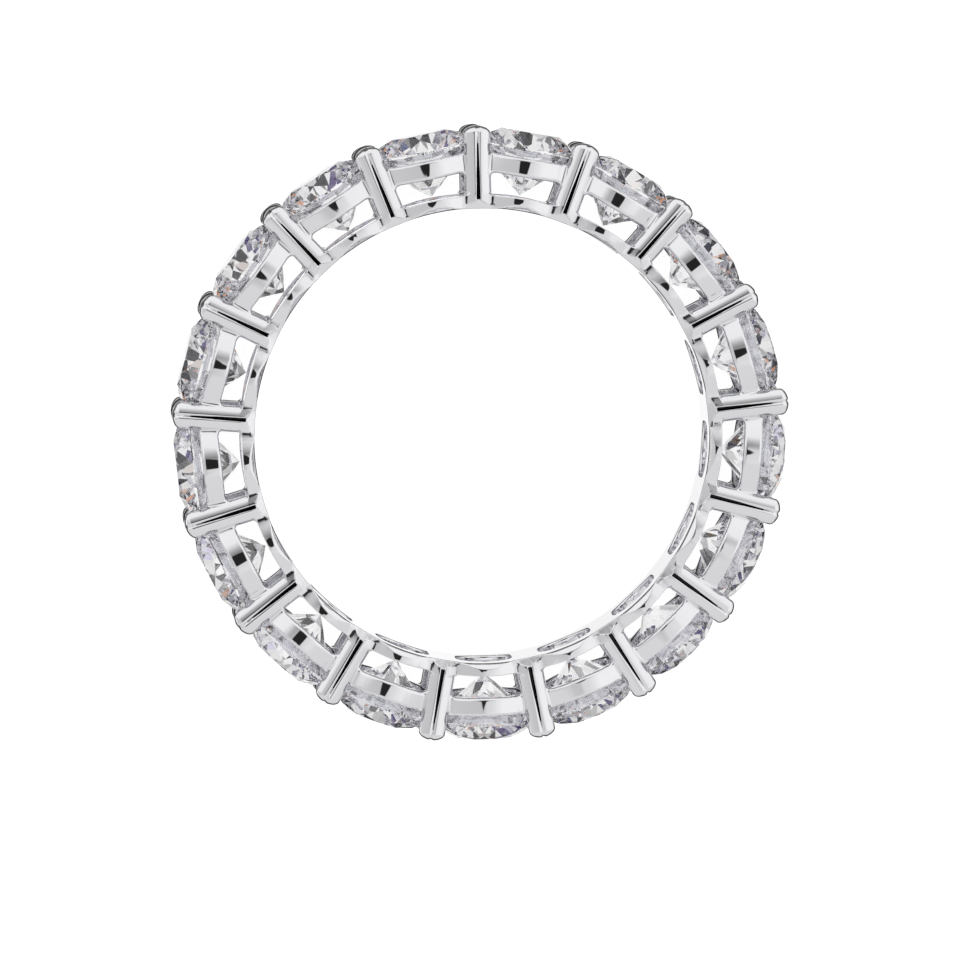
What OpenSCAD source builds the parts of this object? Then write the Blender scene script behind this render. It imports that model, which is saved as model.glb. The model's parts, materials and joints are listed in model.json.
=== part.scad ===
// Full eternity ring: round brilliants in a shared prong setting with a gallery hoop under each stone.
// The ring lies on its side: its axis is Z, its middle plane is z = 0, and the finger goes along Z.
// Every length is in millimetres.

/* [Finger opening and stones] */
// Diameter of the opening that the finger goes through
bore_d = 17.35; // [15:0.05:21]
// Diameter of each stone across its girdle
stone_d = 4.05; // [3.4:0.05:4.8]
// Least gap between the girdles of two neighbours, which sets how many stones go round
stone_gap_least = 0.03; // [0.02:0.01:0.08]
// How far the point of each stone stands off the finger opening
culet_rise = 0.57; // [0.5:0.01:0.9]

/* [Cut of the stones] */
// Diameter of the flat table
table_d = 2.24; // [1.9:0.02:2.4]
// Slope of the kite facets from the girdle up to the table, in degrees
crown_angle = 34.5; // [32:0.5:36]
// Slope of the main facets from the girdle down to the point, in degrees
pavilion_angle = 40.8; // [40:0.1:42]
// Thickness of the girdle where the facets come closest
girdle_t = 0.07; // [0.04:0.01:0.1]
// Share of the way from table to girdle that the star facets reach
star_share = 0.5; // [0.45:0.01:0.58]
// Share of the way from girdle to point that the lower girdle facets reach
lower_share = 0.78; // [0.7:0.01:0.85]

/* [Base band] */
// Thickness of the base band, from the finger opening outwards
band_wall = 0.5; // [0.36:0.02:0.54]
// How far the widest part of the band stays inside the front of the stones
band_inset = 0.2; // [0.1:0.02:0.3]
// How far the narrow part of the band, between two stones, stays inside the front of the stones
band_waist_inset = 0.56; // [0.5:0.02:0.7]
// Width of the band left in front of and behind each oval opening
rim_w = 0.84; // [0.6:0.02:1]
// Metal left between two oval openings, measured at the finger opening
bridge_w = 0.5; // [0.4:0.02:0.8]
// Radius of the long sides of an oval opening, as a share of its half length
opening_roundness = 1.1; // [1:0.05:1.6]
// How far the bridges between the openings stand back, so that a finger touches the two rims
bridge_relief = 0.03; // [0.02:0.01:0.08]
// How far that relief runs past the openings, into each rim
relief_reach = 0.05; // [0.03:0.01:0.1]

/* [Gallery hoops] */
// How far each hoop stays inside the edge of its stone
hoop_inset = 0.07; // [0.04:0.01:0.09]
// Wall of each hoop
hoop_wall = 0.44; // [0.34:0.02:0.6]
// Height of each hoop along the axis of its stone
hoop_h = 0.66; // [0.5:0.02:0.74]
// Drop from the middle of the girdle to the top of the hoop
hoop_drop = 0.34; // [0.24:0.01:0.4]

/* [Posts and beads] */
// Width of each half round wire
wire_w = 0.52; // [0.44:0.02:0.6]
// How far the two wires of a pair run into each other
wire_overlap = 0.01; // [0.01:0.01:0.04]
// Width of the flat backed rib behind each pair of wires
rib_w = 0.96; // [0.8:0.02:1]
// Depth of the rib's back from the outer face of the wires
rib_depth = 0.68; // [0.6:0.02:0.9]
// How far the outer face of the wires stays inside the front of the stones
post_inset = 0.38; // [0.34:0.02:0.44]
// Height of the wire ends above the middle of the girdle
wire_rise = 0.56; // [0.4:0.02:0.64]
// Diameter of the domed bead on each pair of wires
bead_d = 1.06; // [0.9:0.02:1.1]
// Height of the bead's centre above the middle of the girdle
bead_rise = 0.34; // [0.26:0.02:0.4]
// Distance from the outer face of the wires back to the bead's centre
bead_back = 0.68; // [0.62:0.02:0.74]
// Width of the wedge that closes the groove between the wires, at the finger opening
foot_w = 1.12; // [1:0.02:1.3]
// Length of the wedge, from the finger opening to its tip in the groove
foot_l = 0.42; // [0.3:0.02:0.5]
// How far the wedge stays behind the outer face of the wires
foot_inset = 0.1; // [0.06:0.01:0.14]

/* [Fit] */
// Gap between each stone and the seat that is cut for it
seat_gap = 0.02; // [0.01:0.005:0.04]

/* [Hidden] */
bore_r = bore_d / 2;
stone_r = stone_d / 2;
table_r = table_d / 2;
crown_h = (stone_r - table_r) * tan(crown_angle);
pavilion_h = stone_r * tan(pavilion_angle);

// Radius of the circle on which the middles of the girdles lie
girdle_ring_r = bore_r + culet_rise + pavilion_h + girdle_t / 2;

// As many stones as fit side by side, each tilted to its own axis, with one of them at the bottom
stone_count = floor(180 / atan((stone_d + stone_gap_least) / (2 * girdle_ring_r)));
pitch = 360 / stone_count;
first_stone_angle = -90;

// Base band
band_r = bore_r + band_wall;
scallop_r = stone_r - band_inset;
waist_half_w = stone_r - band_waist_inset;
opening_half_w = scallop_r - rim_w;
opening_half_l = bore_r * sin(pitch / 2) - bridge_w / 2;
opening_round_r = opening_roundness * opening_half_l;
relief_half_w = opening_half_w + relief_reach;

// Gallery hoops
hoop_r = stone_r - hoop_inset;
hoop_top_r = girdle_ring_r - hoop_drop;

// Posts and beads
post_face_z = stone_r - post_inset;
wire_r = wire_w / 2;
wire_z = post_face_z - wire_r;
wire_y = wire_r - wire_overlap;
wire_end_r = girdle_ring_r + wire_rise - wire_r;
bead_r = bead_d / 2;
bead_z = post_face_z - bead_back;
bead_ring_r = girdle_ring_r + bead_rise;
foot_top_z = post_face_z - foot_inset;

// Cut of the stones: eight facets of each kind and thirty two points round the girdle
facets = 8;
facet_step = 360 / facets;
girdle_points = 32;
star_r = table_r * cos(facet_step / 2) + star_share * (stone_r - table_r * cos(facet_step / 2));
star_z = girdle_t / 2 + crown_h * (stone_r - star_r * cos(facet_step / 2)) / (stone_r - table_r);
lower_r = (1 - lower_share) * stone_r;
lower_z = -girdle_t / 2 - pavilion_h * (stone_r - lower_r * cos(facet_step / 2)) / stone_r;
table_z = girdle_t / 2 + crown_h;
culet_z = -girdle_t / 2 - pavilion_h;

// Overshoot of cutting shapes, so that no two faces coincide
cut = 0.4;
// Where the posts start, inside the finger opening, which then trims them
post_start_r = bore_r - cut;
// Height of shapes that run through the ring from front to back
through_h = 2 * stone_d;
$fn = 96;

function two_digits(n) = n < 10 ? str("0", n) : str(n);
function stone_name(n) = str("stone_", two_digits(n));
function stone_angle(i) = first_stone_angle + i * pitch;
function post_angle(i) = stone_angle(i) + pitch / 2;

// A point of a facet, from its distance to the axis of the stone, its angle and its height
function facet_point(r, angle, z) = [r * cos(angle), r * sin(angle), z];

// Points of the stone in rings: table, stars, upper girdle, lower girdle, lower facets, culet
stone_points = concat(
    [for (k = [0:facets - 1]) facet_point(table_r, k * facet_step, table_z)],
    [for (k = [0:facets - 1]) facet_point(star_r, (k + 0.5) * facet_step, star_z)],
    [for (k = [0:girdle_points - 1]) facet_point(stone_r, k * 360 / girdle_points, girdle_t / 2)],
    [for (k = [0:girdle_points - 1]) facet_point(stone_r, k * 360 / girdle_points, -girdle_t / 2)],
    [for (k = [0:facets - 1]) facet_point(lower_r, (k + 0.5) * facet_step, lower_z)],
    [[0, 0, culet_z]]
);

// Index of a point in each ring
function table_i(k) = k % facets;
function star_i(k) = facets + (k + facets) % facets;
function upper_i(k) = 2 * facets + (k + girdle_points) % girdle_points;
function lower_girdle_i(k) = 2 * facets + girdle_points + (k + girdle_points) % girdle_points;
function lower_i(k) = 2 * facets + 2 * girdle_points + (k + facets) % facets;
culet_i = 3 * facets + 2 * girdle_points;

// Girdle points along one kite's side
side = girdle_points / facets;
half_side = side / 2;

stone_faces = concat(
    [[for (k = [facets - 1:-1:0]) table_i(k)]],
    [for (k = [0:facets - 1]) [table_i(k), table_i(k + 1), star_i(k)]],
    [for (k = [0:facets - 1]) [table_i(k), star_i(k), upper_i(k * side), star_i(k - 1)]],
    [for (k = [0:facets - 1], m = [0:half_side - 1])
        [star_i(k), upper_i(k * side + m + 1), upper_i(k * side + m)]],
    [for (k = [0:facets - 1], m = [half_side:side - 1])
        [star_i(k), upper_i(k * side + m + 1), upper_i(k * side + m)]],
    [for (m = [0:girdle_points - 1])
        [upper_i(m), upper_i(m + 1), lower_girdle_i(m + 1), lower_girdle_i(m)]],
    [for (k = [0:facets - 1], m = [0:side - 1])
        [lower_i(k), lower_girdle_i(k * side + m), lower_girdle_i(k * side + m + 1)]],
    [for (k = [0:facets - 1]) [culet_i, lower_i(k - 1), lower_girdle_i(k * side), lower_i(k)]]
);

// Turns a shape made along +Z so that it points outwards along +X
module outwards() {
    rotate([0, 90, 0]) children();
}

// Puts a shape on each stone's place, with its X axis pointing outwards through the stone
module at_stones() {
    for (i = [0:stone_count - 1])
        rotate([0, 0, stone_angle(i)]) children();
}

// Puts a shape on each place between two stones, with its X axis pointing outwards
module at_posts() {
    for (i = [0:stone_count - 1])
        rotate([0, 0, post_angle(i)]) children();
}

// One round brilliant with its axis along +Z and the middle of its girdle at the origin
module brilliant() {
    polyhedron(points = stone_points, faces = stone_faces, convexity = 2);
}

// Space that a stone takes in the metal: its turned outline, larger by the seat gap
module seat_cut() {
    rotate_extrude()
        polygon([
            [0, culet_z - seat_gap],
            [lower_r + seat_gap, lower_z - seat_gap],
            [stone_r + seat_gap, -girdle_t / 2 - seat_gap],
            [stone_r + seat_gap, girdle_t / 2 + seat_gap],
            [star_r + seat_gap, star_z + seat_gap],
            [table_r + seat_gap, table_z + seat_gap],
            [0, table_z + seat_gap]
        ]);
}

// Base band, as wide as a disc round each stone's axis and narrower between two stones
module band_blank() {
    intersection() {
        cylinder(r = band_r, h = through_h, center = true);
        union() {
            cylinder(r = band_r + cut, h = 2 * waist_half_w, center = true);
            at_stones()
                translate([bore_r - cut, 0, 0])
                    outwards() cylinder(r = scallop_r, h = band_wall + 2 * cut);
        }
    }
}

// Oval opening under a stone: two long arcs closed by two short ones
module oval_opening() {
    translate([bore_r - cut, 0, 0])
        outwards()
            linear_extrude(height = band_wall + 2 * cut)
                intersection() {
                    translate([opening_half_w - opening_round_r, 0]) circle(r = opening_round_r);
                    translate([opening_round_r - opening_half_w, 0]) circle(r = opening_round_r);
                    circle(r = opening_half_l);
                }
}

// Hoop round the lower cone of a stone, with its axis through the stone
module gallery_hoop() {
    translate([hoop_top_r - hoop_h, 0, 0])
        outwards()
            difference() {
                cylinder(r = hoop_r, h = hoop_h);
                translate([0, 0, -cut]) cylinder(r = hoop_r - hoop_wall, h = hoop_h + 2 * cut);
            }
}

// One wire from inside the base band to its rounded end
module wire() {
    translate([post_start_r, 0, 0]) outwards() cylinder(r = wire_r, h = wire_end_r - post_start_r);
    translate([wire_end_r, 0, 0]) sphere(r = wire_r);
}

// Rib that joins a pair of wires behind their groove
module rib() {
    translate([post_start_r, -rib_w / 2, post_face_z - rib_depth])
        cube([bead_ring_r - post_start_r, rib_w, rib_depth - wire_r]);
}

// Flat wedge that closes the lower end of the groove
module foot() {
    linear_extrude(height = foot_top_z)
        polygon([
            [bore_r - cut, -foot_w / 2],
            [bore_r, -foot_w / 2],
            [bore_r + foot_l, 0],
            [bore_r, foot_w / 2],
            [bore_r - cut, foot_w / 2]
        ]);
}

// Pair of wires with its rib, bead and foot, on the front face
module post() {
    for (side_y = [-wire_y, wire_y])
        translate([0, side_y, wire_z]) wire();
    rib();
    translate([bead_ring_r, 0, bead_z]) sphere(r = bead_r);
    foot();
}

// The whole metal frame, one casting
module setting() {
    color([0.85, 0.86, 0.88])
        difference() {
            union() {
                band_blank();
                at_stones() gallery_hoop();
                at_posts() post();
                at_posts() mirror([0, 0, 1]) post();
            }
            cylinder(r = bore_r, h = through_h, center = true);
            cylinder(r = bore_r + bridge_relief, h = 2 * relief_half_w, center = true);
            at_stones() oval_opening();
            at_stones() translate([girdle_ring_r, 0, 0]) outwards() seat_cut();
        }
}

// One stone in its place
module stone(i) {
    color([0.93, 0.95, 0.99])
        rotate([0, 0, stone_angle(i)])
            translate([girdle_ring_r, 0, 0])
                outwards() brilliant();
}

setting();
for (i = [1:stone_count])
    stone(i - 1);
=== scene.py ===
"""Eternity ring of white gold with seventeen round brilliants, on its side on a pale floor."""

import json
import math

import bmesh
import bpy
import numpy as np
from mathutils import Matrix, Vector


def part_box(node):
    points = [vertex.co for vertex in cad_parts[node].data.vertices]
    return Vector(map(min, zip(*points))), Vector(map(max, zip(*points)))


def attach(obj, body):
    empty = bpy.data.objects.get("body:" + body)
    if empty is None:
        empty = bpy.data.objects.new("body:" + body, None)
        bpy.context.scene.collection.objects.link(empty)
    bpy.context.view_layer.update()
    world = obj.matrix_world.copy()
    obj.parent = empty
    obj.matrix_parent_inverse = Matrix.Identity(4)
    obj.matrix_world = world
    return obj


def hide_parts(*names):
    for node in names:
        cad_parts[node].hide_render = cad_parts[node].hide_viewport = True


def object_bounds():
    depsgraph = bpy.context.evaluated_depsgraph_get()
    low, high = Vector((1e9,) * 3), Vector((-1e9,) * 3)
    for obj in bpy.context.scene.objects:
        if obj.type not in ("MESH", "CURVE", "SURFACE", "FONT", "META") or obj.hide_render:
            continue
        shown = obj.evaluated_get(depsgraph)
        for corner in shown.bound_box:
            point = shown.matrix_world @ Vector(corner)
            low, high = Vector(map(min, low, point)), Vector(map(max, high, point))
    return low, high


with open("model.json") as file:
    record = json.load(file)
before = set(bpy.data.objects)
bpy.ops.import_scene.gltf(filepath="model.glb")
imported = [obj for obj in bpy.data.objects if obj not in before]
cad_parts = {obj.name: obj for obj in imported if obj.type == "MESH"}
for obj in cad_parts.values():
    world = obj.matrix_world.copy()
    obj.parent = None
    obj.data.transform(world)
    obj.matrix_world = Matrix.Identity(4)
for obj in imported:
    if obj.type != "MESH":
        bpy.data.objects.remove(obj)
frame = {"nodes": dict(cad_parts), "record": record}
cad_low, cad_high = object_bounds()

# Every length below is in millimetres, and MM turns it into Blender's metres
MM = 0.001

# Sizes read from the frame
BORE_R = frame["record"]["mounts"][0]["dims"]["r_mm"]
STONE_NODES = sorted(name for name in frame["nodes"] if name.startswith("stone"))
STONE_COUNT = len(STONE_NODES)
PITCH = 2 * math.pi / STONE_COUNT
HALF_PITCH = PITCH / 2
FIRST_STONE = -math.pi / 2
FLOOR_Z = cad_low[2]
stone_low, stone_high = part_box(STONE_NODES[0])
STONE_R = stone_high.x / MM
TABLE_RING_R = -stone_low.y / MM
CULET_RING_R = -stone_high.y / MM

# Cut of the stones
FACET_SETS = 8
FACET_STEP = 2 * math.pi / FACET_SETS
TABLE_R = 1.12
STAR_SHARE = 0.5
LOWER_SHARE = 0.78
GIRDLE_T = 0.13
GIRDLE_SIDES = 96
CROWN_H = 0.587
GIRDLE_RING_R = TABLE_RING_R - CROWN_H - GIRDLE_T / 2
BLANK_H = 2 * STONE_R + 2
CUT_PRECISION = 1e-6
TURNS_SEED = 7

# Base band
BAND_WALL = 0.5
SCALLOP_R = STONE_R - 0.2
WAIST_HALF_W = STONE_R - 0.6
WAIST_SLOPE = math.tan(math.radians(9))
OPENING_HALF_W = SCALLOP_R - 0.84
OPENING_HALF_L = BORE_R * math.sin(HALF_PITCH) - 0.25
OPENING_ARC_R = 1.1 * OPENING_HALF_L
CHAMFER_Z = SCALLOP_R - 0.22

# Gallery hoops
HOOP_R = STONE_R - 0.07
HOOP_WALL = 0.44
HOOP_H = 0.73
HOOP_TOP_R = GIRDLE_RING_R - 0.32

# Posts and beads
POST_FACE_Z = STONE_R - 0.38
WIRE_ARC_R = 0.31
WIRE_CREST = 0.09
WIRE_CREST_ROUND = 0.01
WIRE_CREST_Y = 0.1
WIRE_SIDE_Y = 0.51
WIRE_SPREAD = (WIRE_ARC_R - WIRE_CREST) / (WIRE_SIDE_Y - WIRE_CREST_Y)
WIRE_Z = POST_FACE_Z - WIRE_ARC_R
WIRE_END_R = GIRDLE_RING_R + 0.8 - WIRE_ARC_R
RIB_HALF_W = 0.48
RIB_DEPTH = 0.68
RIB_TOP_Z = POST_FACE_Z - 0.26
BEAD_R = 0.53
BEAD_Z = POST_FACE_Z - 0.68
BEAD_RING_R = GIRDLE_RING_R + 0.27
FOOT_HALF_W = 0.52
FOOT_L = 0.36
FOOT_EDGE_L = 0.1
FOOT_Z = POST_FACE_Z - 0.05
FOOT_SLOPE = math.tan(math.radians(20))
GROOVE_HALF_W = 0.07
GROOVE_TIP_HALF_W = 0.004
GROOVE_TAPER = 1.5
GROOVE_END_R = WIRE_END_R
GROOVE_DEPTH = 0.5
SEAT_GAP = 0.02

# How far the polishing rounds the edges and fills the corners of the metal
RIM_ROUND = 0.05
COMFORT_ROUND = 0.08
CHAMFER_ROUND = 0.04
EDGE_ROUND = 0.09
HOOP_ROUND = 0.16
OPENING_ROUND = 0.1
OPENING_TIP_ROUND = 0.2
GROOVE_ROUND = 0.02
SEAT_ROUND = 0.03
WAIST_FILLET = 0.3
POST_FILLET = 0.16
BEAD_FILLET = 0.04

# Mesh of the metal
CELL = 0.036
CELL_CORNERS = [(i, j, k) for i in (0, 1) for j in (0, 1) for k in (0, 1)]
METAL_TRIANGLES = 190000
GRID_LOW_R = BORE_R - 0.2
GRID_HIGH_R = BEAD_RING_R + BEAD_R + 0.2
GRID_HALF_Z = STONE_R
NEWTON_STEPS = 3
LEAST_STEEPNESS = 0.2
SLOPE_STEP = 0.004

# How the shade painted dark into a groove grows with its depth, as a share of the whole depth
GROOVE_SHADE_GAIN = 2
GROOVE_SHADE_START = 0.3


# Shapes of the metal, as signed distances in millimetres, negative inside


def smooth_max(a, b, k):
    """The larger of two distances, with their meeting edge rounded over a length k."""
    h = np.maximum(k - np.abs(a - b), 0.0) / k
    return np.maximum(a, b) + h * h * k * 0.25


def smooth_min(a, b, k):
    """The smaller of two distances, with their meeting corner filled over a length k."""
    return -smooth_max(-a, -b, k)


def band(rho, sy, sz):
    """Pierced base band: a disc round each stone's axis, and a narrower strip between discs."""
    off_axis = np.hypot(sy, sz)
    waist = sz - WAIST_HALF_W - WAIST_SLOPE * (rho - BORE_R)
    side = smooth_min(waist, off_axis - SCALLOP_R, WAIST_FILLET)
    wall = np.abs(rho - BORE_R - BAND_WALL / 2) - BAND_WALL / 2
    blank = smooth_max(wall, side, RIM_ROUND)
    long_arc = np.hypot(sy, sz + OPENING_ARC_R - OPENING_HALF_W) - OPENING_ARC_R
    opening = smooth_max(long_arc, off_axis - OPENING_HALF_L, OPENING_TIP_ROUND)
    return smooth_max(blank, -opening, OPENING_ROUND)


def hoop(sx, sy, sz):
    """Gallery hoop round one stone's lower cone."""
    off_axis = np.hypot(sy, sz)
    wall = np.abs(off_axis - HOOP_R + HOOP_WALL / 2) - HOOP_WALL / 2
    ends = np.abs(sx - HOOP_TOP_R + HOOP_H / 2) - HOOP_H / 2
    return smooth_max(wall, ends, HOOP_ROUND)


def past_foot(px, py):
    """Distance beyond the slanted edge where the wire ends on the foot, negative over the foot."""
    drop = FOOT_L - FOOT_EDGE_L
    return (FOOT_HALF_W * (px - BORE_R - FOOT_L) + drop * py) / math.hypot(FOOT_HALF_W, drop)


def post(px, py, pz):
    """Half of a post: its wire, filed to a crest near the groove, and its rib, bead and foot."""
    past_end = np.maximum(px - WIRE_END_R, 0.0)
    off_crest = (py - WIRE_CREST_Y) * np.where(py > WIRE_CREST_Y, WIRE_SPREAD, 1)
    off_crest = np.sqrt(off_crest**2 + WIRE_CREST_ROUND**2) + WIRE_CREST
    wire = np.sqrt(past_end**2 + off_crest**2 + (pz - WIRE_Z) ** 2) - WIRE_ARC_R
    wire = smooth_max(wire, -past_foot(px, py), GROOVE_ROUND)
    rib = np.maximum(pz - RIB_TOP_Z, POST_FACE_Z - RIB_DEPTH - pz)
    rib = np.maximum(py - RIB_HALF_W, rib)
    rib = smooth_max(rib, px - BEAD_RING_R, EDGE_ROUND)
    bead = np.sqrt((px - BEAD_RING_R) ** 2 + py**2 + (pz - BEAD_Z) ** 2) - BEAD_R
    foot_top = pz - FOOT_Z + FOOT_SLOPE * (BORE_R + FOOT_L - px)
    foot = smooth_max(past_foot(px, py), py - FOOT_HALF_W, GROOVE_ROUND)
    foot = smooth_max(foot, foot_top, GROOVE_ROUND)
    pair = smooth_min(smooth_min(wire, rib, GROOVE_ROUND), foot, GROOVE_ROUND)
    return smooth_min(pair, bead, BEAD_FILLET)


def groove(px, py, pz):
    """Slot between the two wires of a pair, from the foot's tip up to a point near their ends."""
    along = np.clip((px - BORE_R - FOOT_L) / (GROOVE_END_R - BORE_R - FOOT_L), 0, 1)
    half_w = GROOVE_HALF_W + (GROOVE_TIP_HALF_W - GROOVE_HALF_W) * along**GROOVE_TAPER
    end = np.maximum(BORE_R + FOOT_L - px, px - GROOVE_END_R)
    return np.maximum(np.maximum(py - half_w, POST_FACE_Z - GROOVE_DEPTH - pz), end)


def cone(off_axis, up, slope):
    """Distance from a cone that leaves the girdle's edge at a slope and narrows upwards."""
    return (off_axis - STONE_R) * math.sin(slope) + up * math.cos(slope)


def seat(sx, sy, sz):
    """Space that a stone takes in the metal."""
    off_axis = np.hypot(sy, sz)
    up = sx - GIRDLE_RING_R
    pavilion_h = GIRDLE_RING_R - GIRDLE_T / 2 - CULET_RING_R
    crown = cone(off_axis, up - GIRDLE_T / 2, math.atan2(CROWN_H, STONE_R - TABLE_R))
    pavilion = cone(off_axis, -(up + GIRDLE_T / 2), math.atan2(pavilion_h, STONE_R))
    outline = np.maximum(np.maximum(crown, pavilion), off_axis - STONE_R)
    return np.maximum(outline, sx - TABLE_RING_R) - SEAT_GAP


def from_post(angle):
    """Angle to the nearest post, which is all that counts, as every post and stone is alike."""
    return np.abs((angle + HALF_PITCH) % PITCH - HALF_PITCH)


def metal(rho, angle, z):
    """The whole setting at a point given by its radius, its angle from a post, and its height."""
    angle = from_post(angle)
    z = np.abs(z)
    to_stone = HALF_PITCH - angle
    sx, sy = rho * np.cos(to_stone), rho * np.sin(to_stone)
    px, py = rho * np.cos(angle), rho * np.sin(angle)
    next_x, next_y = rho * np.cos(HALF_PITCH + angle), rho * np.sin(HALF_PITCH + angle)
    hoops = smooth_min(hoop(sx, sy, z), hoop(next_x, next_y, z), EDGE_ROUND)
    whole = smooth_min(band(rho, sy, z), hoops, GROOVE_ROUND)
    whole = smooth_min(whole, post(px, py, z), POST_FILLET)
    chamfer = (BORE_R - rho + z - CHAMFER_Z) / math.sqrt(2)
    finger = smooth_max(BORE_R - rho, chamfer, COMFORT_ROUND)
    whole = smooth_max(whole, finger, CHAMFER_ROUND)
    whole = smooth_max(whole, -groove(px, py, z), GROOVE_ROUND)
    return smooth_max(whole, -seat(sx, sy, z), SEAT_ROUND)


def ring_place(points):
    """Radius, angle from a post and height of points given by x, y and z."""
    rho = np.hypot(points[:, 0], points[:, 1])
    angle = np.arctan2(points[:, 1], points[:, 0]) - FIRST_STONE - HALF_PITCH
    return rho, angle, points[:, 2]


def metal_at(points):
    """The whole setting at points given by x, y and z."""
    return metal(*ring_place(points))


def post_marks(points):
    """How much each point belongs to a post, and how much shade is painted on it for lying deep in
    the groove of its wires.
    """
    rho, angle, z = ring_place(points)
    angle, z = from_post(angle), np.abs(z)
    px, py = rho * np.cos(angle), rho * np.sin(angle)
    on_post = np.clip(1 - np.abs(post(px, py, z)) / POST_FILLET, 0, 1)
    walls = np.clip(1 - np.abs(groove(px, py, z)) / GROOVE_ROUND, 0, 1)
    # Painted shade: the deeper a point lies in the groove, the darker the colour painted on it
    depth = np.clip((POST_FACE_Z - z) / GROOVE_DEPTH * GROOVE_SHADE_GAIN - GROOVE_SHADE_START, 0, 1)
    return on_post, walls * depth


def slopes_at(points):
    """Direction in which the distance grows, by differences along each axis."""
    slopes = np.empty_like(points)
    for axis in range(3):
        step = np.zeros(3)
        step[axis] = SLOPE_STEP
        slopes[:, axis] = metal_at(points + step) - metal_at(points - step)
    return slopes / (2 * SLOPE_STEP)


def settle(points):
    """Moves points onto the metal's surface."""
    for _ in range(NEWTON_STEPS):
        slopes = slopes_at(points)
        steepness = np.maximum((slopes**2).sum(1), LEAST_STEEPNESS)
        move = metal_at(points) / steepness
        points = points - slopes * np.clip(move, -CELL, CELL)[:, None]
    return points


# Mesh of the metal: one pitch of a grid round the ring is searched for the surface, and repeated


def pitch_grid():
    """Distances on the grid of one pitch, and the grid's angles, radii and heights."""
    columns = 2 * round(PITCH * BEAD_RING_R / CELL / 2)
    angles = (np.arange(columns) + 0.5) * PITCH / columns - HALF_PITCH
    radii = np.arange(GRID_LOW_R, GRID_HIGH_R, CELL)
    layers = 2 * round(GRID_HALF_Z / CELL)
    heights = (np.arange(layers) + 0.5) * 2 * GRID_HALF_Z / layers - GRID_HALF_Z
    half_angles, half_heights = angles[columns // 2:], heights[layers // 2:]
    angle, radius, height = np.meshgrid(half_angles, radii, half_heights, indexing="ij")
    values = metal(radius, angle, height)
    values = np.concatenate([values[::-1], values], axis=0)
    values = np.concatenate([values[:, :, ::-1], values], axis=2)
    return values, angles, radii, heights


def surface_cells(values):
    """Cells of the grid that the surface passes through, and a table of their numbers."""
    inside = values < 0
    around = np.concatenate([inside, inside[:1]], axis=0)
    columns, rows, layers = values.shape
    filled = np.zeros((columns, rows - 1, layers - 1), np.int8)
    for i, j, k in CELL_CORNERS:
        filled += around[i:columns + i, j:rows - 1 + j, k:layers - 1 + k]
    cells = np.stack(np.nonzero((filled > 0) & (filled < len(CELL_CORNERS))), axis=1)
    numbers = np.full(filled.shape, -1)
    numbers[tuple(cells.T)] = np.arange(len(cells))
    return cells, numbers


def cell_points(values, cells):
    """Each cell's point, in grid steps: the middle of where the surface crosses its edges."""
    a, r, h = cells.T
    at = np.empty((2, 2, 2, len(cells)))
    for i, j, k in CELL_CORNERS:
        at[i, j, k] = values[(a + i) % len(values), r + j, h + k]
    total = np.zeros((len(cells), 3))
    crossings = np.zeros(len(cells))
    for axis in range(3):
        turned = np.moveaxis(at, axis, 0)
        one, two = (other for other in range(3) if other != axis)
        for m, n in np.ndindex(2, 2):
            start, end = turned[0, m, n], turned[1, m, n]
            crosses = (start < 0) != (end < 0)
            total[:, axis] += np.where(crosses, start / np.where(crosses, start - end, 1.0), 0.0)
            total[:, one] += m * crosses
            total[:, two] += n * crosses
            crossings += crosses
    return total / crossings[:, None] + cells


def cell_faces(values, numbers, count):
    """A face for each grid edge that crosses the surface, between the points of its four cells."""
    inside = values < 0
    neighbours = (
        (inside, np.roll(inside, -1, axis=0)),
        (inside[:, :-1], inside[:, 1:]),
        (inside[:, :, :-1], inside[:, :, 1:]),
    )
    steps = np.eye(3, dtype=int)
    faces = []
    for axis, (here, there) in enumerate(neighbours):
        base = np.stack(np.nonzero(here != there), axis=1)
        one, two = steps[(axis + 1) % 3], steps[(axis + 2) % 3]
        corners = []
        for a, r, h in (cell.T for cell in (base - one - two, base - two, base, base - one)):
            number = numbers[a % len(values), r, h]
            corners.append(np.where(a < 0, number - count, number))
        quads = np.stack(corners, axis=1)
        outward = here[tuple(base.T)]
        quads[outward] = quads[outward, ::-1]
        faces.append(quads)
    return np.concatenate(faces)


def pitch_mesh():
    """Points and four sided faces on the surface of one pitch."""
    values, angles, radii, heights = pitch_grid()
    cells, numbers = surface_cells(values)
    place = cell_points(values, cells)
    middle = FIRST_STONE + HALF_PITCH
    angle = angles[0] + place[:, 0] * PITCH / len(angles) + middle
    radius = radii[0] + place[:, 1] * CELL
    height = heights[0] + place[:, 2] * (heights[1] - heights[0])
    points = np.stack([radius * np.cos(angle), radius * np.sin(angle), height], axis=1)
    return settle(points), cell_faces(values, numbers, len(points))


def ring_mesh():
    """Points and faces of the whole ring: the pitch's own, repeated round it."""
    points, faces = pitch_mesh()
    x, y, z = points.T
    all_points, all_faces = [], []
    for turn in range(STONE_COUNT):
        cos, sin = math.cos(turn * PITCH), math.sin(turn * PITCH)
        all_points.append(np.stack([x * cos - y * sin, x * sin + y * cos, z], axis=1))
        all_faces.append((faces + turn * len(points)) % (STONE_COUNT * len(points)))
    return np.concatenate(all_points), np.concatenate(all_faces)


def mesh_from(name, points, faces):
    """Blender mesh of many faces with the same number of sides, from points in millimetres."""
    mesh = bpy.data.meshes.new(name)
    sides = faces.shape[1]
    mesh.vertices.add(len(points))
    mesh.vertices.foreach_set("co", (points * MM).astype(np.float32).ravel())
    mesh.loops.add(faces.size)
    mesh.loops.foreach_set("vertex_index", faces.astype(np.int32).ravel())
    mesh.polygons.add(len(faces))
    mesh.polygons.foreach_set("loop_start", np.arange(0, faces.size, sides, dtype=np.int32))
    mesh.update(calc_edges=True)
    return mesh


def make_object(name, data):
    """Blender object of that name in the scene."""
    obj = bpy.data.objects.new(name, data)
    bpy.context.scene.collection.objects.link(obj)
    return obj


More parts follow.
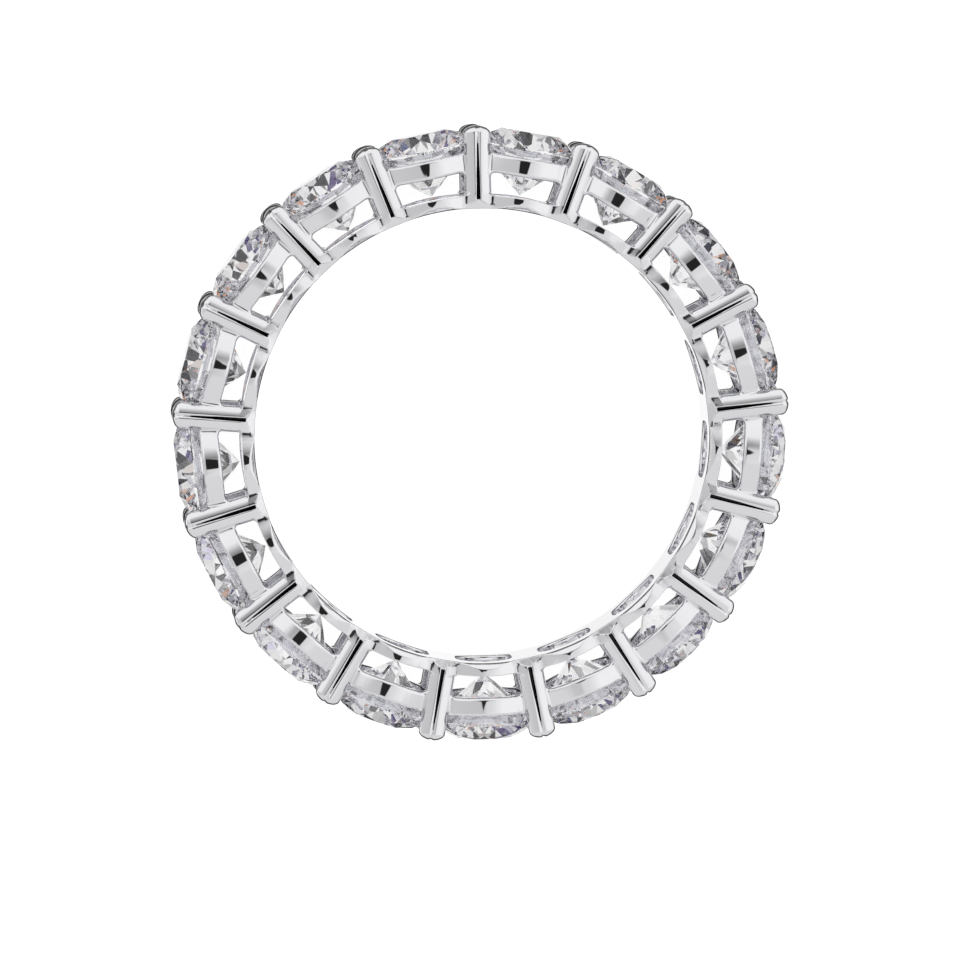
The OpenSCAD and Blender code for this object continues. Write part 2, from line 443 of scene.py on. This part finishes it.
def thinned(obj):
    """The object's mesh, brought down to the wanted number of triangles."""
    thin = obj.modifiers.new("thin", "DECIMATE")
    thin.ratio = METAL_TRIANGLES / (2 * len(obj.data.polygons))
    thin.use_collapse_triangulate = True
    evaluated = obj.evaluated_get(bpy.context.evaluated_depsgraph_get())
    mesh = bpy.data.meshes.new_from_object(evaluated)
    obj.modifiers.clear()
    return mesh


def polished_normals(mesh, points):
    """Normal at each point: the surface's slopes in the middle of its faces, by their areas."""
    corners = np.empty(len(mesh.polygons) * 3, np.int32)
    mesh.loops.foreach_get("vertex_index", corners)
    corners = corners.reshape(-1, 3)
    a, b, c = points[corners[:, 0]], points[corners[:, 1]], points[corners[:, 2]]
    area = np.linalg.norm(np.cross(b - a, c - a), axis=1)
    slopes = slopes_at((a + b + c) / 3)
    slopes *= (area / np.linalg.norm(slopes, axis=1))[:, None]
    normals = np.zeros_like(points)
    for corner in corners.T:
        for axis in range(3):
            normals[:, axis] += np.bincount(corner, slopes[:, axis], len(points))
    return normals / np.linalg.norm(normals, axis=1)[:, None]


def make_setting():
    """The setting's surface, thinned and then settled on the exact shape again, with its marks."""
    obj = make_object("setting_polished", mesh_from("setting_polished", *ring_mesh()))
    obj.data = mesh = thinned(obj)
    flat = np.empty(len(mesh.vertices) * 3, np.float32)
    mesh.vertices.foreach_get("co", flat)
    points = settle(flat.reshape(-1, 3).astype(float) / MM)
    mesh.vertices.foreach_set("co", (points * MM).astype(np.float32).ravel())
    mesh.polygons.foreach_set("use_smooth", np.ones(len(mesh.polygons), bool))
    mesh.normals_split_custom_set_from_vertices(polished_normals(mesh, points).tolist())
    # The post mark sets roughness; the groove mark carries painted shade
    for name, marks in zip(("post", "painted_groove_shade"), post_marks(points)):
        values = mesh.attributes.new(name, "FLOAT", "POINT").data
        values.foreach_set("value", marks.astype(np.float32))
    return obj


# Stones


def facet_triples():
    """Three points on each facet's plane, with the girdle's middle at the origin."""
    top = GIRDLE_T / 2
    table = top + CROWN_H
    culet = CULET_RING_R - GIRDLE_RING_R
    side_share = math.cos(FACET_STEP / 2)
    star_r = TABLE_R * side_share + STAR_SHARE * (STONE_R - TABLE_R * side_share)
    star_z = top + CROWN_H * (STONE_R - star_r * side_share) / (STONE_R - TABLE_R)
    lower_r = (1 - LOWER_SHARE) * STONE_R
    lower_z = -top + (culet + top) * (STONE_R - lower_r * side_share) / STONE_R

    def spot(r, turn, z):
        return Vector((r * math.cos(turn * FACET_STEP), r * math.sin(turn * FACET_STEP), z))

    for k in range(FACET_SETS):
        corner = spot(TABLE_R, k, table)
        star = spot(star_r, k + 0.5, star_z)
        low = spot(lower_r, k + 0.5, lower_z)
        yield corner, spot(TABLE_R, k + 1, table), star
        yield corner, star, spot(star_r, k - 0.5, star_z)
        yield Vector((0, 0, culet)), low, spot(lower_r, k - 0.5, lower_z)
        for m in (k, k + 0.5):
            yield star, spot(STONE_R, m, top), spot(STONE_R, m + 0.5, top)
            yield low, spot(STONE_R, m, -top), spot(STONE_R, m + 0.5, -top)


def facet_planes():
    """Planes of a round brilliant with its axis along +Z: a point on each, and its direction."""
    yield Vector((0, 0, GIRDLE_T / 2 + CROWN_H)), Vector((0, 0, 1))
    for a, b, c in facet_triples():
        normal = (b - a).cross(c - a).normalized()
        yield a, normal if normal.dot(a) > 0 else -normal


def brilliant_bmesh(turn):
    """A polished stone: a cylinder cut down by each facet's plane, then turned about its axis."""
    bm = bmesh.new()
    bmesh.ops.create_cone(
        bm, cap_ends=True, segments=GIRDLE_SIDES, radius1=STONE_R, radius2=STONE_R, depth=BLANK_H
    )
    for point, normal in facet_planes():
        whole = bm.verts[:] + bm.edges[:] + bm.faces[:]
        cut = bmesh.ops.bisect_plane(
            bm, geom=whole, plane_co=point, plane_no=normal, clear_outer=True, dist=CUT_PRECISION
        )
        edges = [part for part in cut["geom_cut"] if isinstance(part, bmesh.types.BMEdge)]
        if edges:
            bmesh.ops.edgeloop_fill(bm, edges=edges)
    bmesh.ops.rotate(bm, verts=bm.verts, matrix=Matrix.Rotation(turn, 3, "Z"))
    bmesh.ops.recalc_face_normals(bm, faces=bm.faces)
    return bm


def make_stone(number, node, turn):
    """The stone of a node, in its place on the ring with its table outwards."""
    bm = brilliant_bmesh(turn)
    round_ring = Matrix.Rotation(FIRST_STONE + number * PITCH, 4, "Z")
    out_to_girdle = Matrix.Translation((GIRDLE_RING_R, 0, 0))
    axis_outwards = Matrix.Rotation(math.pi / 2, 4, "Y")
    bm.transform(Matrix.Scale(MM, 4) @ (round_ring @ out_to_girdle @ axis_outwards))
    mesh = bpy.data.meshes.new(node + "_polished")
    bm.to_mesh(mesh)
    bm.free()
    return make_object(node + "_polished", mesh)


# Nodes of the materials and the studio


class Wiring:
    """Adds nodes to one node tree and joins them."""

    def __init__(self, tree):
        self.tree = tree

    def join(self, node, sources):
        """Gives a node's inputs their values, or links them to the outputs they come from."""
        for socket, source in sources.items():
            if isinstance(source, bpy.types.NodeSocket):
                self.tree.links.new(source, node.inputs[socket])
            else:
                node.inputs[socket].default_value = source

    def add(self, kind, sources, **settings):
        """A new node with its inputs joined and its own settings made."""
        made = self.tree.nodes.new("ShaderNode" + kind)
        for name, value in settings.items():
            setattr(made, name, value)
        self.join(made, sources)
        return made

    def attribute(self, name):
        """What a mark on the surface says, from 0 to 1."""
        return self.add("Attribute", {}, attribute_name=name).outputs["Fac"]

    def calculate(self, operation, *numbers):
        """Result of one sum."""
        return self.add("Math", dict(enumerate(numbers)), operation=operation).outputs[0]

    def noise(self, place, scale, detail):
        """Soft cloudy pattern over the surface."""
        sources = {"Vector": place, "Scale": scale, "Detail": detail}
        return self.add("TexNoise", sources).outputs["Fac"]

    def between(self, value, start, end):
        """A soft step from 0 where the value is the start to 1 where it is the end."""
        sources = {"Value": value, "From Min": start, "From Max": end}
        return self.add("MapRange", sources, interpolation_type="SMOOTHSTEP").outputs["Result"]

    def stretch(self, value, low, high):
        """A value from 0 to 1, brought between two others."""
        sources = {"Value": value, "To Min": low, "To Max": high}
        return self.add("MapRange", sources).outputs["Result"]

    def mix(self, share, first, second):
        """The first colour where the share is 0, and the second where it is 1."""
        sources = {"Fac": share, "Color1": first, "Color2": second}
        return self.add("MixRGB", sources).outputs["Color"]

    def ramp(self, stops, value, interpolation="LINEAR"):
        """Colours along a value, from pairs of a position and a colour."""
        made = self.add("ValToRGB", {"Fac": value})
        made.color_ramp.interpolation = interpolation
        elements = made.color_ramp.elements
        while len(elements) < len(stops):
            elements.new(0.5)
        for element, (position, colour) in zip(elements, stops):
            element.position = position
            element.color = (*colour, 1)
        return made.outputs["Color"]


# Materials

METAL_COLOUR = (0.86, 0.86, 0.88, 1)
# Painted shade: near black colour painted deep in the grooves between each post's wires
GROOVE_SHADE_COLOUR = (0.02, 0.02, 0.02, 1)
MIRROR_ROUGHNESS = (0.02, 0.06)
SATIN_ROUGHNESS = (0.1, 0.16)
WEAR_SCALE = 900
WEAR_DETAIL = 3
WAVES_SCALE = 420
WAVES_DETAIL = 1
WAVES_STRENGTH = 0.25
WAVES_H = 0.02

STONE_ROUGHNESS = 0.04
STONE_IOR = 2.25

FLOOR_COLOUR = (0.4, 0.4, 0.4, 1)
FLOOR_ROUGHNESS = 0.9
FLOOR_GLOW = 0.92


def new_material(name):
    """A material, its shader, and the wiring of its nodes."""
    material = bpy.data.materials.new(name)
    material.use_nodes = True
    tree = material.node_tree
    return material, tree.nodes["Principled BSDF"], Wiring(tree)


def white_gold():
    """Mirror polished metal, softer on the hand finished posts, with shade painted dark down in
    their grooves.
    """
    material, shader, wiring = new_material("white_gold")
    place = wiring.add("TexCoord", {}).outputs["Object"]
    wear = wiring.noise(place, WEAR_SCALE, WEAR_DETAIL)
    roughness = wiring.add("Mix", {
        "Factor": wiring.attribute("post"),
        "A": wiring.stretch(wear, *MIRROR_ROUGHNESS),
        "B": wiring.stretch(wear, *SATIN_ROUGHNESS),
    })
    waves = wiring.add("Bump", {
        "Strength": WAVES_STRENGTH,
        "Distance": WAVES_H * MM,
        "Height": wiring.noise(place, WAVES_SCALE, WAVES_DETAIL),
    })
    wiring.join(shader, {
        "Metallic": 1,
        # Painted shade: the colour turns near black deep in the posts' grooves
        "Base Color": wiring.mix(wiring.attribute("painted_groove_shade"), METAL_COLOUR, GROOVE_SHADE_COLOUR),
        "Roughness": roughness.outputs["Result"],
        "Normal": waves.outputs["Normal"],
    })
    return material


def brilliant_glass():
    """Clear stone of high brilliance."""
    material, shader, wiring = new_material("brilliant_glass")
    wiring.join(shader, {
        "Base Color": (1, 1, 1, 1),
        "Roughness": STONE_ROUGHNESS,
        "IOR": STONE_IOR,
        "Transmission Weight": 1,
    })
    return material


def floor_white():
    """Dull pale floor that glows a little, so that it stays even."""
    material, shader, wiring = new_material("floor_white")
    wiring.join(shader, {
        "Base Color": FLOOR_COLOUR,
        "Roughness": FLOOR_ROUGHNESS,
        "Specular IOR Level": 0,
        "Emission Color": (1, 1, 1, 1),
        "Emission Strength": FLOOR_GLOW,
    })
    return material


# Studio

# On each of its four sides: angle from the camera's direction, in degrees, and brightness there
STUDIO_ABOVE = (
    (0, 0.1),
    (12, 0.2),
    (20, 0.4),
    (28, 0.65),
    (38, 0.95),
    (88, 1.0),
    (98, 0.3),
    (112, 0.25),
    (120, 0.03),
    (146, 0.03),
    (157, 0.9),
    (180, 1.15),
)
STUDIO_BELOW = (
    (0, 0.78),
    (90, 0.76),
    (104, 0.66),
    (115, 0.04),
    (149, 0.04),
    (158, 0.8),
    (180, 1.15),
)
STUDIO_LEFT = (
    (0, 0.6),
    (78, 0.66),
    (90, 1.0),
    (104, 1.0),
    (114, 0.03),
    (150, 0.03),
    (159, 0.9),
    (180, 1.15),
)
STUDIO_RIGHT = (
    (0, 0.74),
    (20, 0.8),
    (45, 1.0),
    (80, 1.0),
    (95, 0.75),
    (104, 0.7),
    (114, 0.03),
    (150, 0.03),
    (159, 0.9),
    (180, 1.15),
)

# Where one side of the studio passes into the next, along the world's X or Y
LEFT_TO_RIGHT = (-0.1, 0.1)
MIDDLE_TO_BELOW = (-0.22, -0.45)
MIDDLE_TO_ABOVE = (0.1, 0.35)

# Dark round of the camera's lens, in degrees from its middle to its edge
LENS_DEGREES = 11
LENS_SOFT_DEGREES = 1.5
LENS_COLOUR = (0.02, 0.02, 0.02, 1)

# What the stones show through their facets: share of the directions from here on, and colour
ROOM_PATCHES = (
    (0.0, (1.0, 1.0, 1.0)),
    (0.2, (0.58, 0.56, 0.66)),
    (0.28, (1.0, 1.0, 1.0)),
    (0.42, (0.25, 0.24, 0.3)),
    (0.49, (0.005, 0.005, 0.01)),
    (0.57, (0.05, 0.012, 0.15)),
    (0.7, (0.85, 0.8, 1.0)),
    (0.78, (0.015, 0.03, 0.17)),
    (0.82, (0.16, 0.01, 0.03)),
    (0.86, (0.8, 0.35, 0.16)),
    (0.872, (1.0, 1.0, 1.0)),
)
ROOM_PATCH_SCALE = 2.5

# Height of a direction where the patches begin to lose their colour, and where they are grey
ROOM_GREY = (0.0, -0.25)

# One even tone for light that has met more surfaces than this
ROOM_DEEP = (0.8, 0.8, 0.84, 1)
ROOM_DEEP_FROM = 6.5

# Light that has passed more surfaces of a stone than this, so any at all, shows the patches
ROOM_PATCHES_FROM = 0.5

FLOOR_R = 4.0
FLOOR_SIDES = 64


def metal_room(wiring, place, axes, toward_camera):
    """What the metal reflects: the four sides of the studio and the camera's dark lens."""
    facing = {0: place, 1: toward_camera}
    facing = wiring.add("VectorMath", facing, operation="DOT_PRODUCT").outputs["Value"]
    turn = wiring.calculate("DIVIDE", wiring.calculate("ARCCOSINE", facing), math.pi)
    left, right, below, above = (
        wiring.ramp([(degrees / 180, (light,) * 3) for degrees, light in stops], turn)
        for stops in (STUDIO_LEFT, STUDIO_RIGHT, STUDIO_BELOW, STUDIO_ABOVE)
    )
    room = wiring.mix(wiring.between(axes["X"], *LEFT_TO_RIGHT), left, right)
    room = wiring.mix(wiring.between(axes["Y"], *MIDDLE_TO_BELOW), room, below)
    room = wiring.mix(wiring.between(axes["Y"], *MIDDLE_TO_ABOVE), room, above)
    lens_edge = (LENS_DEGREES + LENS_SOFT_DEGREES) / 180, LENS_DEGREES / 180
    return wiring.mix(wiring.between(turn, *lens_edge), room, LENS_COLOUR)


def stone_room(wiring, place, axes, depth):
    """What the stones show through their facets: patches of light, dark and a few colours."""
    cells = wiring.add("TexVoronoi", {"Vector": place, "Scale": ROOM_PATCH_SCALE})
    pick = wiring.add("SeparateColor", {"Color": cells.outputs["Color"]}).outputs[0]
    patches = wiring.ramp(ROOM_PATCHES, pick, "CONSTANT")
    grey = wiring.add("RGBToBW", {0: patches}).outputs[0]
    patches = wiring.mix(wiring.between(axes["Z"], *ROOM_GREY), patches, grey)
    return wiring.mix(wiring.calculate("GREATER_THAN", depth, ROOM_DEEP_FROM), patches, ROOM_DEEP)


def make_studio(toward_camera):
    """The world round the ring, with one room for the metal and one for the stones."""
    world = bpy.data.worlds.new("studio")
    bpy.context.scene.world = world
    world.use_nodes = True
    wiring = Wiring(world.node_tree)
    place = wiring.add("TexCoord", {}).outputs["Generated"]
    axes = wiring.add("SeparateXYZ", {0: place}).outputs
    path = wiring.add("LightPath", {}).outputs
    passed = path["Transmission Depth"]
    through_stone = wiring.calculate("GREATER_THAN", passed, ROOM_PATCHES_FROM)
    metal_side = metal_room(wiring, place, axes, toward_camera)
    stone_side = stone_room(wiring, place, axes, path["Ray Depth"])
    room = wiring.mix(through_stone, metal_side, stone_side)
    wiring.join(world.node_tree.nodes["Background"], {"Color": room})


def make_floor():
    """Round floor at the ring's lowest point, which neither the metal nor the stones show."""
    bm = bmesh.new()
    bmesh.ops.create_circle(bm, cap_ends=True, segments=FLOOR_SIDES, radius=FLOOR_R)
    mesh = bpy.data.meshes.new("floor")
    bm.to_mesh(mesh)
    bm.free()
    floor = make_object("floor", mesh)
    floor.location.z = FLOOR_Z
    floor.visible_glossy = False
    floor.visible_transmission = False
    floor.data.materials.append(floor_white())


# Camera: its direction round the ring's middle, its distance, and the part of the lens it uses

PICTURE_PX = 960
SENSOR_MM = 36
CAMERA_SIDEWAYS = math.radians(-4.384)
CAMERA_UP = math.radians(4.907)
CAMERA_SPIN = math.radians(-0.961)
CAMERA_AWAY = 237.85
CAMERA_OFF_RIGHT = -0.0227
CAMERA_OFF_UP = 1.788
FOCAL_PX = 6206


def make_camera():
    """The scene's camera, and the direction from the ring towards it."""
    flat = math.cos(CAMERA_UP)
    toward = Vector((
        math.sin(CAMERA_SIDEWAYS) * flat,
        math.sin(CAMERA_UP),
        math.cos(CAMERA_SIDEWAYS) * flat,
    ))
    right = Vector((0, 1, 0)).cross(toward).normalized()
    up = toward.cross(right)
    stand = Matrix((right, up, toward)).transposed().to_4x4()
    stand.translation = (toward * CAMERA_AWAY - right * CAMERA_OFF_RIGHT - up * CAMERA_OFF_UP) * MM
    lens = bpy.data.cameras.new("camera")
    lens.sensor_width = SENSOR_MM
    lens.lens = FOCAL_PX / PICTURE_PX * SENSOR_MM
    lens.clip_start = MM
    camera = make_object("camera", lens)
    camera.matrix_world = Matrix.Rotation(CAMERA_SPIN, 4, "Z") @ stand
    bpy.context.scene.camera = camera
    return camera.matrix_world.col[2].to_3d()


# Scene

REFLECTION_BOUNCES = 12
STONE_BOUNCES = 12
ALL_BOUNCES = 20

scene = bpy.context.scene
scene.view_settings.view_transform = "Standard"
scene.cycles.glossy_bounces = REFLECTION_BOUNCES
scene.cycles.transmission_bounces = STONE_BOUNCES
scene.cycles.max_bounces = ALL_BOUNCES
make_studio(make_camera())
make_floor()

setting = make_setting()
setting.data.materials.append(white_gold())
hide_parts("setting")
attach(setting, "root")

glass = brilliant_glass()
turns = np.random.default_rng(TURNS_SEED).uniform(0, FACET_STEP, STONE_COUNT)
for number, node in enumerate(STONE_NODES):
    stone = make_stone(number, node, turns[number])
    stone.data.materials.append(glass)
    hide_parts(node)
    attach(stone, "root")
